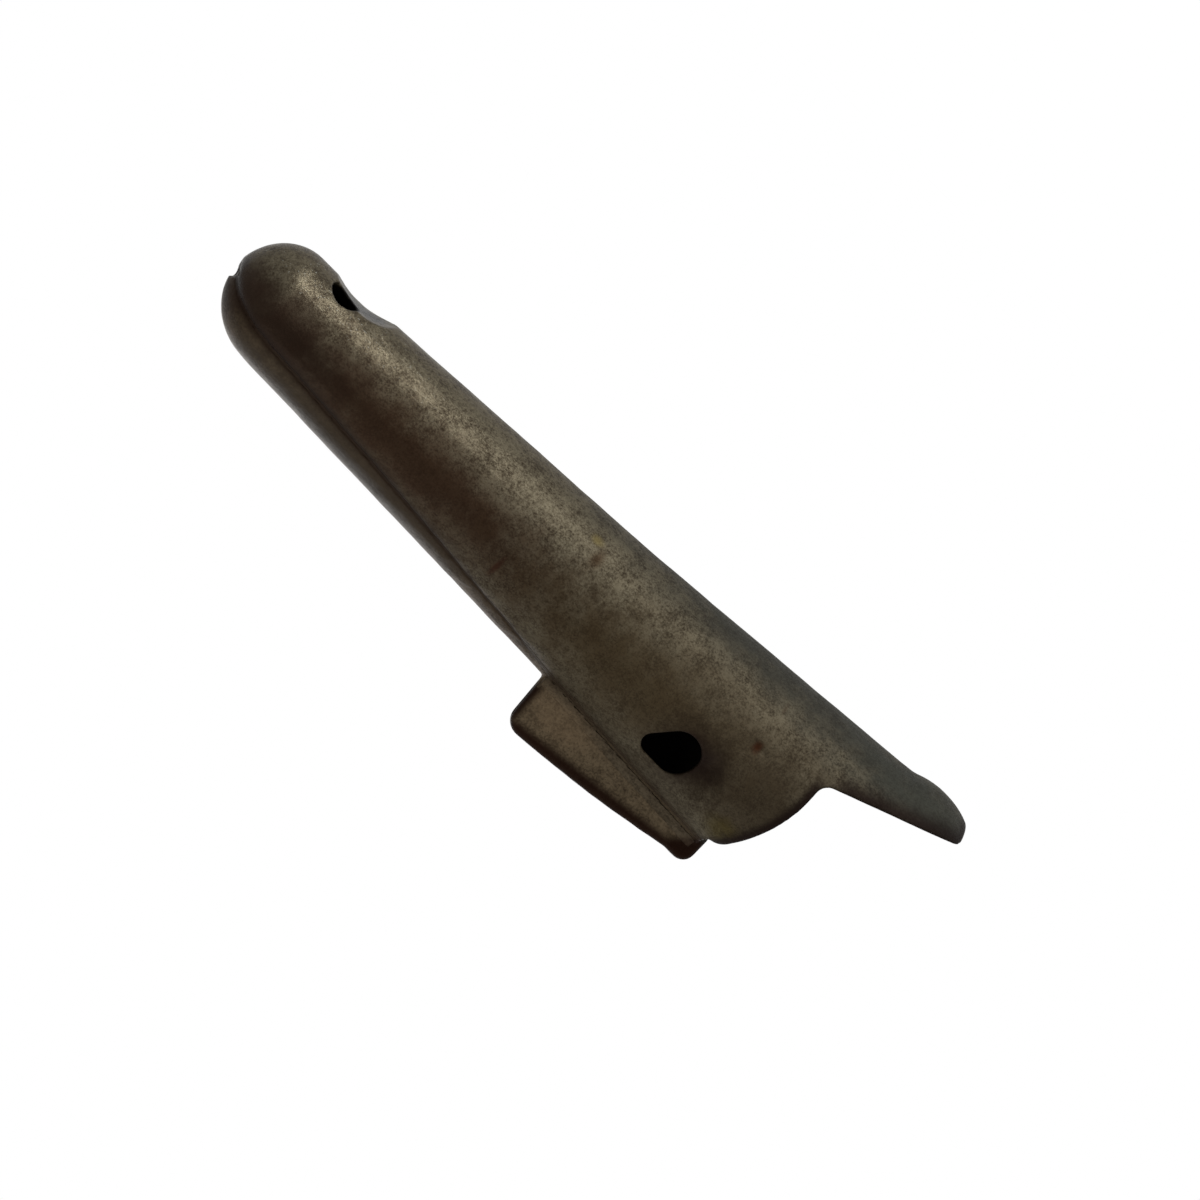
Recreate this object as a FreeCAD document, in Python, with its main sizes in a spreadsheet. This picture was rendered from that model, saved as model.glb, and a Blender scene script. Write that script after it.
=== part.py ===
import FreeCAD, Part
import math
import os

import Sketcher

# Sap spile of rolled sheet steel, hot dipped in zinc.
# Millimetres and degrees. The origin lies on the barrel's axis in the plane of the shoulder,
# which is the fin's end that stops against the bark. +X runs to the lip, +Z up to the fin,
# so the nose points along -X and the open lip lies below the sap's way out.

Vector = FreeCAD.Vector

sizes = {
    # sheet and barrel
    "sheetThickness": 0.9,
    "noseReach": 46.7,
    "noseRadius": 5.8,
    "barrelTaper": 2.55,
    "rearTaper": 4.1,
    "tipNotchRadius": 0.6,
    "tipNotchHeight": 0.9,
    # fin, a fold of the keel that stands up behind the shoulder
    "finLength": 21.8,
    "finHeight": 5.75,
    "finFrontHeight": 2.1,
    "finEdgeSag": 0.3,
    "finEarLength": 2.6,
    "shoulderLean": 4.0,
    "finBackRadius": 1.7,
    "finEarRadius": 1.3,
    "foldRounding": 0.6,
    "foldGap": 0.24,
    # mouth and lip
    "mouthOverhang": 2.75,
    "mouthArcRadius": 17.5,
    "mouthArcDrop": 1.2,
    "lobeStep": 1.3,
    "lobeSetback": 0.135,
    "lobeRadius": 1.5,
    "notchDrop": 3.0,
    "notchRadius": 1.4,
    "lipLength": 13.65,
    "lipEdgeAngle": 19.0,
    "lipTipRadius": 0.9,
    "kneeRadius": 4.0,
    "bowlRadius": 8.5,
    "bowlSetback": 3.4,
    "bowlBulge": 0.42,
    # holes
    "hookSetback": 13.0,
    "hookHeight": 4.2,
    "hookRadius": 2.1,
    "hookWearRadius": 1.0,
    "hookWearLength": 2.4,
    "hookWearTilt": 24.0,
    "inletSetback": 37.6,
    "inletRadius": 1.7,
    "inletTurn": 32.0,
    "dimpleSetback": 36.0,
    "dimpleTurn": 8.0,
    "dimpleLength": 7.2,
    "dimpleDepth": 1.0,
    # joint between the shell and the keel
    "seamAngleNose": 56.0,
    "seamGap": 0.2,
    "seamGroove": 0.3,
    "beadRadius": 1.6,
    "beadSpread": 1.2,
    "beadInset": 0.2,
    "rootMargin": 0.15,
    # how far the cutting forms run past what they cut, and how far the largest of them reach
    "overrun": 1.0,
    "cutReach": 30.0,
}
smallestChange = 1e-6
sameHeight = 1e-3

doc = FreeCAD.newDocument("SapSpile")

sheet = doc.addObject("Spreadsheet::Sheet", "Sizes")
for row, (name, value) in enumerate(sizes.items(), start=1):
    sheet.set(f"A{row}", name)
    sheet.set(f"B{row}", str(value))
    sheet.setAlias(f"B{row}", name)
doc.recompute()


def size(name):
    return float(sheet.get(name))


def sine(name):
    return math.sin(math.radians(size(name)))


def cosine(name):
    return math.cos(math.radians(size(name)))


def tangent(name):
    return math.tan(math.radians(size(name)))


# The cone's outer radius at the shoulder follows from the nose, which it touches smoothly.
NOSE_BACK = "(Sizes.noseReach - Sizes.noseRadius)"
SHOULDER_RADIUS = (
    f"((Sizes.noseRadius + {NOSE_BACK} * sin(Sizes.barrelTaper * 1 deg))"
    " / cos(Sizes.barrelTaper * 1 deg))"
)
REAR_SLOPE = "tan(Sizes.rearTaper * 1 deg)"
MOUTH_REACH = "(Sizes.finLength + Sizes.mouthOverhang)"
LIP_REACH = f"({MOUTH_REACH} + Sizes.lipLength)"
BOWL_X = f"({LIP_REACH} - Sizes.bowlSetback)"
BOWL_Z = f"({SHOULDER_RADIUS} + {BOWL_X} * {REAR_SLOPE} + Sizes.bowlBulge - Sizes.bowlRadius)"
FIN_FRONT_RADIUS = f"({SHOULDER_RADIUS} + Sizes.finLength * {REAR_SLOPE})"
# The lobes lie a step below the fin's root. Their rounding touches the mouth's edge, which sets
# where it ends, and the barrel's top edge stands a little behind that.
LOBE_HEIGHT = f"({FIN_FRONT_RADIUS} - Sizes.lobeStep)"
LOBE_ROUNDING_END = (
    f"({MOUTH_REACH} - Sizes.mouthArcRadius"
    " + sqrt((Sizes.mouthArcRadius - Sizes.lobeRadius) ^ 2"
    f" - ({LOBE_HEIGHT} - Sizes.lobeRadius + Sizes.mouthArcDrop) ^ 2))"
)
LOBE_BACK = f"({LOBE_ROUNDING_END} - Sizes.lobeSetback)"

noseBack = size("noseReach") - size("noseRadius")
shoulderRadius = (size("noseRadius") + noseBack * sine("barrelTaper")) / cosine("barrelTaper")
mouthReach = size("finLength") + size("mouthOverhang")
lipReach = mouthReach + size("lipLength")
bowlX = lipReach - size("bowlSetback")


def coneRadius(x):
    slope = tangent("barrelTaper") if x < 0 else tangent("rearTaper")
    return shoulderRadius + x * slope


bowlZ = coneRadius(bowlX) + size("bowlBulge") - size("bowlRadius")
lobeHeight = coneRadius(size("finLength")) - size("lobeStep")
lobeRoundingEnd = mouthReach - size("mouthArcRadius") + math.sqrt(
    (size("mouthArcRadius") - size("lobeRadius")) ** 2
    - (lobeHeight - size("lobeRadius") + size("mouthArcDrop")) ** 2
)
lobeBack = lobeRoundingEnd - size("lobeSetback")


# Half the fin's thickness, and the half angle of the keel's root, which carries the fin and the
# solder beside it.
FIN_FACE = "(Sizes.sheetThickness + Sizes.foldGap / 2)"
FIN_SEAM_ANGLE = f"asin(({FIN_FACE} + Sizes.beadSpread + Sizes.rootMargin) / {SHOULDER_RADIUS})"
finFace = size("sheetThickness") + size("foldGap") / 2
finSeamAngle = math.asin((finFace + size("beadSpread") + size("rootMargin")) / shoulderRadius)


def newBody(name):
    return doc.addObject("PartDesign::Body", name)


def newSketch(body, name):
    sketch = body.newObject("Sketcher::SketchObject", name)
    plane = next(item for item in body.Origin.OriginFeatures if item.Role == "XZ_Plane")
    sketch.AttachmentSupport = [(plane, "")]
    sketch.MapMode = "FlatFace"
    return sketch


def bind(sketch, name, expression, *definition):
    index = sketch.addConstraint(Sketcher.Constraint(*definition))
    sketch.renameConstraint(index, name)
    sketch.setExpression(f"Constraints.{name}", expression)


def join(sketch, *pairs):
    for first, firstEnd, second, secondEnd in pairs:
        sketch.addConstraint(Sketcher.Constraint("Coincident", first, firstEnd, second, secondEnd))


def line(sketch, start, end):
    return sketch.addGeometry(Part.LineSegment(start, end))


def arc(sketch, centre, radius, start, end):
    """An arc from start to end, anticlockwise about centre."""
    first = math.atan2(start.y - centre.y, start.x - centre.x)
    last = math.atan2(end.y - centre.y, end.x - centre.x)
    circle = Part.Circle(centre, Vector(0, 0, 1), radius)
    return sketch.addGeometry(Part.ArcOfCircle(circle, first, last))


def corner(sketch, name, first, second, nearFirst, nearSecond):
    """Rounds the corner where two sketch edges meet to the size of that name."""
    count = len(sketch.Geometry)
    sketch.fillet(first, second, nearFirst, nearSecond, size(name), True, True)
    rounding = next(
        index for index in range(count, len(sketch.Geometry))
        if isinstance(sketch.Geometry[index], Part.ArcOfCircle)
    )
    bind(sketch, name, f"Sizes.{name}", "Radius", rounding, size(name))


def revolvedForm(name, inset, insetExpression, overruns):
    """The barrel's outline, moved inwards by inset, turned about the axis into a solid."""
    body = newBody(name)
    sketch = newSketch(body, name + "Outline")
    noseRadius = size("noseRadius") - inset
    kneeRadius = size("kneeRadius") + inset
    bowlRadius = size("bowlRadius") - inset
    noseCentre = Vector(-noseBack, 0, 0)
    bowlCentre = Vector(bowlX, bowlZ, 0)
    endX = lipReach + overruns * size("overrun")

    slope = math.radians(size("rearTaper"))
    along = Vector(math.cos(slope), math.sin(slope), 0)
    outward = Vector(-math.sin(slope), math.cos(slope), 0)
    neck = noseCentre + Vector(-sine("barrelTaper"), cosine("barrelTaper"), 0) * noseRadius
    turn = Vector(0, neck.y - neck.x * tangent("barrelTaper"), 0)

    # the knee touches the rear cone's line and the bowl, so its centre is this far along
    offset = turn + outward * kneeRadius - bowlCentre
    reach = kneeRadius + bowlRadius
    lead = offset.dot(along)
    run = -lead - math.sqrt(lead * lead - offset.dot(offset) + reach * reach)
    kneeCentre = turn + outward * kneeRadius + along * run
    kneeStart = kneeCentre - outward * kneeRadius
    kneeEnd = kneeCentre + (bowlCentre - kneeCentre).normalize() * kneeRadius
    bowlEnd = Vector(endX, bowlZ + math.sqrt(bowlRadius**2 - (endX - bowlX) ** 2), 0)
    apex = noseCentre - Vector(noseRadius, 0, 0)

    dome = arc(sketch, noseCentre, noseRadius, neck, apex)
    barrel = line(sketch, neck, turn)
    rear = line(sketch, turn, kneeStart)
    knee = arc(sketch, kneeCentre, kneeRadius, kneeStart, kneeEnd)
    bowl = arc(sketch, bowlCentre, bowlRadius, bowlEnd, kneeEnd)
    end = line(sketch, bowlEnd, Vector(endX, 0, 0))
    axis = line(sketch, Vector(endX, 0, 0), apex)

    sketch.addConstraint(Sketcher.Constraint("Tangent", dome, 1, barrel, 1))
    sketch.addConstraint(Sketcher.Constraint("Tangent", rear, 2, knee, 1))
    sketch.addConstraint(Sketcher.Constraint("Tangent", knee, 2, bowl, 2))
    join(sketch, (barrel, 2, rear, 1), (bowl, 1, end, 1), (end, 2, axis, 1), (axis, 2, dome, 2))
    sketch.addConstraint(Sketcher.Constraint("Vertical", end))
    sketch.addConstraint(Sketcher.Constraint("Horizontal", axis))
    sketch.addConstraint(Sketcher.Constraint("PointOnObject", axis, 1, -1))
    sketch.addConstraint(Sketcher.Constraint("PointOnObject", dome, 3, -1))
    sketch.addConstraint(Sketcher.Constraint("PointOnObject", barrel, 2, -2))
    bind(sketch, "noseBack", NOSE_BACK, "DistanceX", dome, 3, -1, 1, noseBack)
    bind(sketch, "domeRadius", f"Sizes.noseRadius - {insetExpression}", "Radius", dome, noseRadius)
    bind(sketch, "barrelTaper", "Sizes.barrelTaper", "Angle", barrel,
         math.radians(size("barrelTaper")))
    bind(sketch, "rearTaper", "Sizes.rearTaper", "Angle", rear, slope)
    bind(sketch, "kneeRadius", f"Sizes.kneeRadius + {insetExpression}", "Radius", knee, kneeRadius)
    bind(sketch, "bowlX", BOWL_X, "DistanceX", -1, 1, bowl, 3, bowlX)
    bind(sketch, "bowlZ", BOWL_Z, "DistanceY", -1, 1, bowl, 3, bowlZ)
    bind(sketch, "bowlRadius", f"Sizes.bowlRadius - {insetExpression}", "Radius", bowl, bowlRadius)
    bind(sketch, "endX", f"{LIP_REACH} + {overruns} * Sizes.overrun", "DistanceX", -1, 1, end, 1,
         endX)

    solid = body.newObject("PartDesign::Revolution", name + "Turned")
    solid.Profile = sketch
    solid.ReferenceAxis = (sketch, ["H_Axis"])
    solid.Angle = 360
    return body


def sidePad(body, sketch, name, lengthExpression):
    """Pads a side outline equally to both sides of the plane that halves the spile."""
    pad = body.newObject("PartDesign::Pad", name)
    pad.Profile = sketch
    pad.SideType = "Symmetric"
    pad.setExpression("Length", lengthExpression)
    return pad


def mouthForm():
    """What is cut away in front of the barrel: the mouth's edge, the notch and the lip's edge."""
    body = newBody("MouthForm")
    sketch = newSketch(body, "MouthOutline")
    far = size("cutReach")
    arcX = mouthReach - size("mouthArcRadius")
    arcZ = -size("mouthArcDrop")
    notchZ = -size("notchDrop")
    radius = size("mouthArcRadius")
    lobeX = arcX + math.sqrt(radius**2 - (lobeHeight - arcZ) ** 2)
    notchX = arcX + math.sqrt(radius**2 - (notchZ - arcZ) ** 2)
    tipZ = notchZ - (lipReach - notchX) * tangent("lipEdgeAngle")

    top = Vector(lobeBack, far, 0)
    step = Vector(lobeBack, lobeHeight, 0)
    lobe = Vector(lobeX, lobeHeight, 0)
    notch = Vector(notchX, notchZ, 0)
    tip = Vector(lipReach, tipZ, 0)
    below = Vector(lipReach, -far, 0)
    farBelow = Vector(lipReach + far, -far, 0)
    farTop = Vector(lipReach + far, far, 0)

    back = line(sketch, top, step)
    lobeTop = line(sketch, step, lobe)
    mouth = arc(sketch, Vector(arcX, arcZ, 0), radius, notch, lobe)
    lipEdge = line(sketch, notch, tip)
    lipEnd = line(sketch, tip, below)
    under = line(sketch, below, farBelow)
    front = line(sketch, farBelow, farTop)
    over = line(sketch, farTop, top)
    join(sketch, (back, 2, lobeTop, 1), (lobeTop, 2, mouth, 2), (mouth, 1, lipEdge, 1),
         (lipEdge, 2, lipEnd, 1), (lipEnd, 2, under, 1), (under, 2, front, 1),
         (front, 2, over, 1), (over, 2, back, 1))
    for upright in (back, lipEnd, front):
        sketch.addConstraint(Sketcher.Constraint("Vertical", upright))
    for level in (lobeTop, under, over):
        sketch.addConstraint(Sketcher.Constraint("Horizontal", level))
    bind(sketch, "lobeBack", LOBE_BACK, "DistanceX", -1, 1, back, 2, lobeBack)
    bind(sketch, "lobeHeight", LOBE_HEIGHT, "DistanceY", -1, 1, back, 2, lobeHeight)
    bind(sketch, "arcX", f"{MOUTH_REACH} - Sizes.mouthArcRadius", "DistanceX", -1, 1, mouth, 3, arcX)
    bind(sketch, "arcDrop", "Sizes.mouthArcDrop", "DistanceY", mouth, 3, -1, 1, -arcZ)
    bind(sketch, "mouthArcRadius", "Sizes.mouthArcRadius", "Radius", mouth, radius)
    bind(sketch, "notchDrop", "Sizes.notchDrop", "DistanceY", lipEdge, 1, -1, 1, -notchZ)
    bind(sketch, "lipEdgeAngle", "-Sizes.lipEdgeAngle", "Angle", lipEdge,
         -math.radians(size("lipEdgeAngle")))
    bind(sketch, "lipReach", LIP_REACH, "DistanceX", -1, 1, lipEnd, 1, lipReach)
    bind(sketch, "far", f"{LIP_REACH} + Sizes.cutReach", "DistanceX", -1, 1, front, 1, farTop.x)
    bind(sketch, "farUp", "Sizes.cutReach", "DistanceY", -1, 1, over, 1, far)
    bind(sketch, "farDown", "Sizes.cutReach", "DistanceY", under, 1, -1, 1, far)
    doc.recompute()
    corner(sketch, "lobeRadius", lobeTop, mouth, step, Vector(mouthReach, 0, 0))
    corner(sketch, "notchRadius", mouth, lipEdge, Vector(mouthReach, 0, 0), tip)
    corner(sketch, "lipTipRadius", lipEdge, lipEnd, notch, below)
    sidePad(body, sketch, "MouthCut", "2 * Sizes.cutReach")
    return body


def hookForm():
    """The worn, egg-shaped hole that the bucket's hook goes into, in the wall on the +Y side."""
    body = newBody("HookForm")
    sketch = newSketch(body, "HookOutline")
    tilt = math.radians(size("hookWearTilt"))
    radius = size("hookRadius")
    wornRadius = size("hookWearRadius")
    length = size("hookWearLength")
    centre = Vector(size("hookSetback"), size("hookHeight"), 0)
    wornCentre = centre + Vector(-math.cos(tilt), math.sin(tilt), 0) * length
    spread = math.asin((radius - wornRadius) / length)

    def edgePoint(middle, edgeRadius, side):
        angle = math.pi - tilt + side * (math.pi / 2 - spread)
        return middle + Vector(math.cos(angle), math.sin(angle), 0) * edgeRadius

    upper = edgePoint(centre, radius, -1)
    lower = edgePoint(centre, radius, 1)
    wornUpper = edgePoint(wornCentre, wornRadius, -1)
    wornLower = edgePoint(wornCentre, wornRadius, 1)
    round_ = arc(sketch, centre, radius, lower, upper)
    worn = arc(sketch, wornCentre, wornRadius, wornUpper, wornLower)
    above = line(sketch, upper, wornUpper)
    below = line(sketch, wornLower, lower)
    for pair in ((round_, 2, above, 1), (above, 2, worn, 1), (worn, 2, below, 1),
                 (below, 2, round_, 1)):
        sketch.addConstraint(Sketcher.Constraint("Tangent", *pair))
    bind(sketch, "setback", "Sizes.hookSetback", "DistanceX", -1, 1, round_, 3, centre.x)
    bind(sketch, "height", "Sizes.hookHeight", "DistanceY", -1, 1, round_, 3, centre.y)
    bind(sketch, "radius", "Sizes.hookRadius", "Radius", round_, radius)
    bind(sketch, "wornRadius", "Sizes.hookWearRadius", "Radius", worn, wornRadius)
    bind(sketch, "wornX", "Sizes.hookWearLength * cos(Sizes.hookWearTilt * 1 deg)",
         "DistanceX", worn, 3, round_, 3, centre.x - wornCentre.x)
    bind(sketch, "wornZ", "Sizes.hookWearLength * sin(Sizes.hookWearTilt * 1 deg)",
         "DistanceY", round_, 3, worn, 3, wornCentre.y - centre.y)
    pad = sidePad(body, sketch, "HookCut", "Sizes.cutReach")
    pad.SideType = "One side"
    pad.Reversed = True
    return body


def finForm():
    """The fin: two layers of sheet folded up and pressed together, with an ear at the front."""
    body = newBody("FinForm")
    sketch = newSketch(body, "FinOutline")
    rootDepth = size("sheetThickness") / 2
    length = size("finLength")
    root = Vector(0, shoulderRadius - rootDepth, 0)
    backTop = Vector((size("finHeight") + rootDepth) * tangent("shoulderLean"),
                     shoulderRadius + size("finHeight"), 0)
    earTop = Vector(length - size("finEarLength"), coneRadius(length) + size("finFrontHeight"), 0)
    frontTop = Vector(length, earTop.y, 0)
    frontRoot = Vector(length, lobeHeight, 0)
    stepLow = Vector(lobeBack, lobeHeight, 0)
    stepHigh = Vector(lobeBack, coneRadius(lobeBack) - rootDepth, 0)
    chord = earTop - backTop
    middle = (backTop + earTop) * 0.5 + Vector(-chord.y, chord.x, 0).normalize() * size("finEdgeSag")
    edgeCircle = Part.Arc(backTop, middle, earTop).toShape().Curve

    back = line(sketch, root, backTop)
    edge = arc(sketch, edgeCircle.Center, edgeCircle.Radius, earTop, backTop)
    ear = line(sketch, earTop, frontTop)
    front = line(sketch, frontTop, frontRoot)
    # the front end runs down past the barrel's edge as far as the lobes
    foot = line(sketch, frontRoot, stepLow)
    rise = line(sketch, stepLow, stepHigh)
    base = line(sketch, stepHigh, root)
    join(sketch, (back, 2, edge, 2), (edge, 1, ear, 1), (ear, 2, front, 1), (front, 2, foot, 1),
         (foot, 2, rise, 1), (rise, 2, base, 1), (base, 2, back, 1))
    for upright in (front, rise):
        sketch.addConstraint(Sketcher.Constraint("Vertical", upright))
    for level in (ear, foot):
        sketch.addConstraint(Sketcher.Constraint("Horizontal", level))
    sketch.addConstraint(Sketcher.Constraint("PointOnObject", back, 1, -2))
    bind(sketch, "rootHeight", f"{SHOULDER_RADIUS} - Sizes.sheetThickness / 2",
         "DistanceY", -1, 1, back, 1, root.y)
    bind(sketch, "topHeight", f"{SHOULDER_RADIUS} + Sizes.finHeight",
         "DistanceY", -1, 1, back, 2, backTop.y)
    bind(sketch, "lean", "90 - Sizes.shoulderLean", "Angle", back,
         math.pi / 2 - math.radians(size("shoulderLean")))
    bind(sketch, "length", "Sizes.finLength", "DistanceX", -1, 1, front, 1, length)
    bind(sketch, "frontRoot", LOBE_HEIGHT, "DistanceY", -1, 1, front, 2, frontRoot.y)
    bind(sketch, "stepBack", LOBE_BACK, "DistanceX", -1, 1, rise, 1, lobeBack)
    bind(sketch, "stepHeight",
         f"{SHOULDER_RADIUS} + {LOBE_BACK} * {REAR_SLOPE} - Sizes.sheetThickness / 2",
         "DistanceY", -1, 1, rise, 2, stepHigh.y)
    bind(sketch, "earHeight", f"{FIN_FRONT_RADIUS} + Sizes.finFrontHeight",
         "DistanceY", -1, 1, ear, 1, earTop.y)
    bind(sketch, "earLength", "Sizes.finEarLength", "DistanceX", ear, 1, ear, 2,
         size("finEarLength"))
    sketch.addConstraint(Sketcher.Constraint("Radius", edge, edgeCircle.Radius))
    doc.recompute()
    corner(sketch, "finBackRadius", back, edge, root, earTop)
    corner(sketch, "finEarRadius", ear, front, earTop, frontRoot)
    pad = sidePad(body, sketch, "FinLayers", "2 * Sizes.sheetThickness + Sizes.foldGap")
    doc.recompute()

    # the fold's outer edge is round, and the rounding runs on down the fin's two ends
    folded = [
        f"Edge{number}"
        for number, item in enumerate(pad.Shape.Edges, start=1)
        if abs(item.CenterOfMass.y) > rootDepth and item.CenterOfMass.z > earTop.y - sameHeight
    ]
    rounded = body.newObject("PartDesign::Fillet", "FoldRounding")
    rounded.Base = (pad, folded)
    rounded.setExpression("Radius", "Sizes.foldRounding")
    return body


def foldForm():
    """The slit that the two pressed layers leave at the fin's cut ends."""
    body = newBody("FoldForm")
    sketch = newSketch(body, "FoldOutline")
    past = size("overrun")
    wall = size("sheetThickness")
    length = size("finLength")
    points = [
        Vector(-past, shoulderRadius, 0),
        Vector(-past, shoulderRadius + size("finHeight") - wall, 0),
        Vector(length + past, coneRadius(length) + size("finFrontHeight") - wall, 0),
        Vector(length + past, coneRadius(length), 0),
    ]
    edges = [line(sketch, start, end) for start, end in zip(points, points[1:] + points[:1])]
    join(sketch, *((edge, 2, after, 1) for edge, after in zip(edges, edges[1:] + edges[:1])))
    sketch.addConstraint(Sketcher.Constraint("Vertical", edges[0]))
    sketch.addConstraint(Sketcher.Constraint("Vertical", edges[2]))
    bind(sketch, "past", "Sizes.overrun", "DistanceX", edges[0], 1, -1, 1, past)
    bind(sketch, "reach", "Sizes.finLength + Sizes.overrun", "DistanceX", -1, 1, edges[2], 1,
         length + past)
    bind(sketch, "rootBack", SHOULDER_RADIUS, "DistanceY", -1, 1, edges[0], 1, points[0].y)
    bind(sketch, "topBack", f"{SHOULDER_RADIUS} + Sizes.finHeight - Sizes.sheetThickness",
         "DistanceY", -1, 1, edges[0], 2, points[1].y)
    bind(sketch, "topFront", f"{FIN_FRONT_RADIUS} + Sizes.finFrontHeight - Sizes.sheetThickness",
         "DistanceY", -1, 1, edges[2], 1, points[2].y)
    bind(sketch, "rootFront", FIN_FRONT_RADIUS, "DistanceY", -1, 1, edges[2], 2, points[3].y)
    sidePad(body, sketch, "FoldSlit", "Sizes.foldGap")
    return body


def crossSketch(name, stationExpression, station):
    """A sketch square to the barrel's axis at that station, with Y across and Z up."""
    sketch = doc.addObject("Sketcher::SketchObject", name)
    across = FreeCAD.Rotation(Vector(0, 1, 0), Vector(0, 0, 1), Vector(1, 0, 0), "XYZ")
    sketch.Placement = FreeCAD.Placement(Vector(station, 0, 0), across)
    sketch.setExpression("Placement.Base.x", stationExpression)
    return sketch


def wedgeSection(name, stationExpression, station, angleExpression, angle, side):
    """A triangle that opens upwards from the axis. Side +1 or -1 puts half the gap outside it."""
    sketch = crossSketch(name, stationExpression, station)
    height = coneRadius(size("finLength")) + size("overrun")
    shift = side * size("seamGap") / 2
    half = height * math.tan(angle) + shift / math.cos(angle)
    apex = Vector(0, -shift / math.sin(angle), 0)
    left = Vector(-half, height, 0)
    right = Vector(half, height, 0)
    up = line(sketch, apex, right)
    over = line(sketch, right, left)
    down = line(sketch, left, apex)
    join(sketch, (up, 2, over, 1), (over, 2, down, 1), (down, 2, up, 1))
    sketch.addConstraint(Sketcher.Constraint("Horizontal", over))
    sketch.addConstraint(Sketcher.Constraint("PointOnObject", up, 1, -2))
    top = f"({FIN_FRONT_RADIUS} + Sizes.overrun)"
    shiftExpression = f"{side} * Sizes.seamGap / 2"
    halfWidth = f"{top} * tan({angleExpression}) + {shiftExpression} / cos({angleExpression})"
    bind(sketch, "apex", f"-{shiftExpression} / sin({angleExpression})", "DistanceY", -1, 1, up, 1,
         apex.y)
    bind(sketch, "height", top, "DistanceY", -1, 1, over, 1, height)
    bind(sketch, "halfWidth", halfWidth, "DistanceX", -1, 1, over, 1, half)
    bind(sketch, "otherHalf", halfWidth, "DistanceX", over, 2, -1, 1, half)
    return sketch


def wedge(name, side):
    """The wedge between the two seams, wide at the nose and narrow along the fin."""
    past = size("overrun")
    noseAngle = math.radians(size("seamAngleNose"))
    atNose = ("Sizes.seamAngleNose * 1 deg", noseAngle, side)
    atFin = (FIN_SEAM_ANGLE, finSeamAngle, side)
    sections = [
        wedgeSection(name + "Nose", "-(Sizes.noseReach + Sizes.overrun)",
                     -size("noseReach") - past, *atNose),
        wedgeSection(name + "Shoulder", "0", 0, *atFin),
        wedgeSection(name + "Front", f"{MOUTH_REACH} + Sizes.overrun", mouthReach + past, *atFin),
    ]
    loft = doc.addObject("Part::Loft", name)
    loft.Sections = sections
    loft.Solid = True
    loft.Ruled = True
    return loft


def beadSection(name, stationExpression, station, side):
    """The solder in the corner between the fin and the barrel, with its back inside both."""
    sketch = crossSketch(name, stationExpression, station)
    radiusExpression = f"({SHOULDER_RADIUS} + ({stationExpression}) * {REAR_SLOPE})"
    radius = coneRadius(station)
    depth = size("sheetThickness") / 2
    spread = size("beadSpread")
    onFin = Vector(side * finFace, radius + spread, 0)
    reach = finFace + spread
    onBarrel = Vector(side * reach, math.sqrt(radius**2 - reach**2), 0)
    chord = onBarrel - onFin
    hollow = math.sqrt(size("beadRadius") ** 2 - chord.dot(chord) / 4)
    away = Vector(-chord.y, chord.x, 0).normalize() * side
    centre = (onFin + onBarrel) * 0.5 + away * hollow
    under = Vector(onBarrel.x, onBarrel.y - depth, 0)
    inside = Vector(onFin.x - side * depth, under.y, 0)
    inFin = Vector(inside.x, onFin.y, 0)
    if side > 0:
        surface = arc(sketch, centre, size("beadRadius"), onFin, onBarrel)
        finEnd, barrelEnd = 1, 2
    else:
        surface = arc(sketch, centre, size("beadRadius"), onBarrel, onFin)
        finEnd, barrelEnd = 2, 1
    drop = line(sketch, onBarrel, under)
    base = line(sketch, under, inside)
    back = line(sketch, inside, inFin)
    top = line(sketch, inFin, onFin)
    join(sketch, (surface, barrelEnd, drop, 1), (drop, 2, base, 1), (base, 2, back, 1),
         (back, 2, top, 1), (top, 2, surface, finEnd))
    for upright in (drop, back):
        sketch.addConstraint(Sketcher.Constraint("Vertical", upright))
    for level in (base, top):
        sketch.addConstraint(Sketcher.Constraint("Horizontal", level))
    origin = (-1, 1)
    across = (*origin, top, 2) if side > 0 else (top, 2, *origin)
    inwards = (back, 1, top, 2) if side > 0 else (top, 2, back, 1)
    outwards = (top, 2, drop, 1) if side > 0 else (drop, 1, top, 2)
    bind(sketch, "face", FIN_FACE, "DistanceX", *across, finFace)
    bind(sketch, "rise", f"{radiusExpression} + Sizes.beadSpread", "DistanceY", *origin, top, 2,
         onFin.y)
    bind(sketch, "depthInFin", "Sizes.sheetThickness / 2", "DistanceX", *inwards, depth)
    bind(sketch, "spread", "Sizes.beadSpread", "DistanceX", *outwards, spread)
    bind(sketch, "onBarrel",
         f"sqrt({radiusExpression} ^ 2 - ({FIN_FACE} + Sizes.beadSpread) ^ 2)",
         "DistanceY", *origin, drop, 1, onBarrel.y)
    bind(sketch, "depth", "Sizes.sheetThickness / 2", "DistanceY", drop, 2, drop, 1, depth)
    bind(sketch, "beadRadius", "Sizes.beadRadius", "Radius", surface, size("beadRadius"))
    return sketch


def bead(name, side):
    loft = doc.addObject("Part::Loft", name)
    loft.Sections = [
        beadSection(name + "Back", "Sizes.beadInset", size("beadInset"), side),
        beadSection(name + "Front", f"{LOBE_BACK} - Sizes.beadInset",
                    lobeBack - size("beadInset"), side),
    ]
    loft.Solid = True
    loft.Ruled = True
    return loft


def cylinder(name, radius, height, place, turn):
    """A cutting cylinder. All its numbers are expressions; turn is about the barrel's axis."""
    form = doc.addObject("Part::Cylinder", name)
    form.Placement = FreeCAD.Placement(Vector(), FreeCAD.Rotation(Vector(1, 0, 0), 1))
    form.setExpression("Placement.Rotation.Angle", turn)
    for letter, expression in zip("xyz", place):
        form.setExpression(f"Placement.Base.{letter}", expression)
    form.setExpression("Radius", radius)
    form.setExpression("Height", height)
    return form


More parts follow.
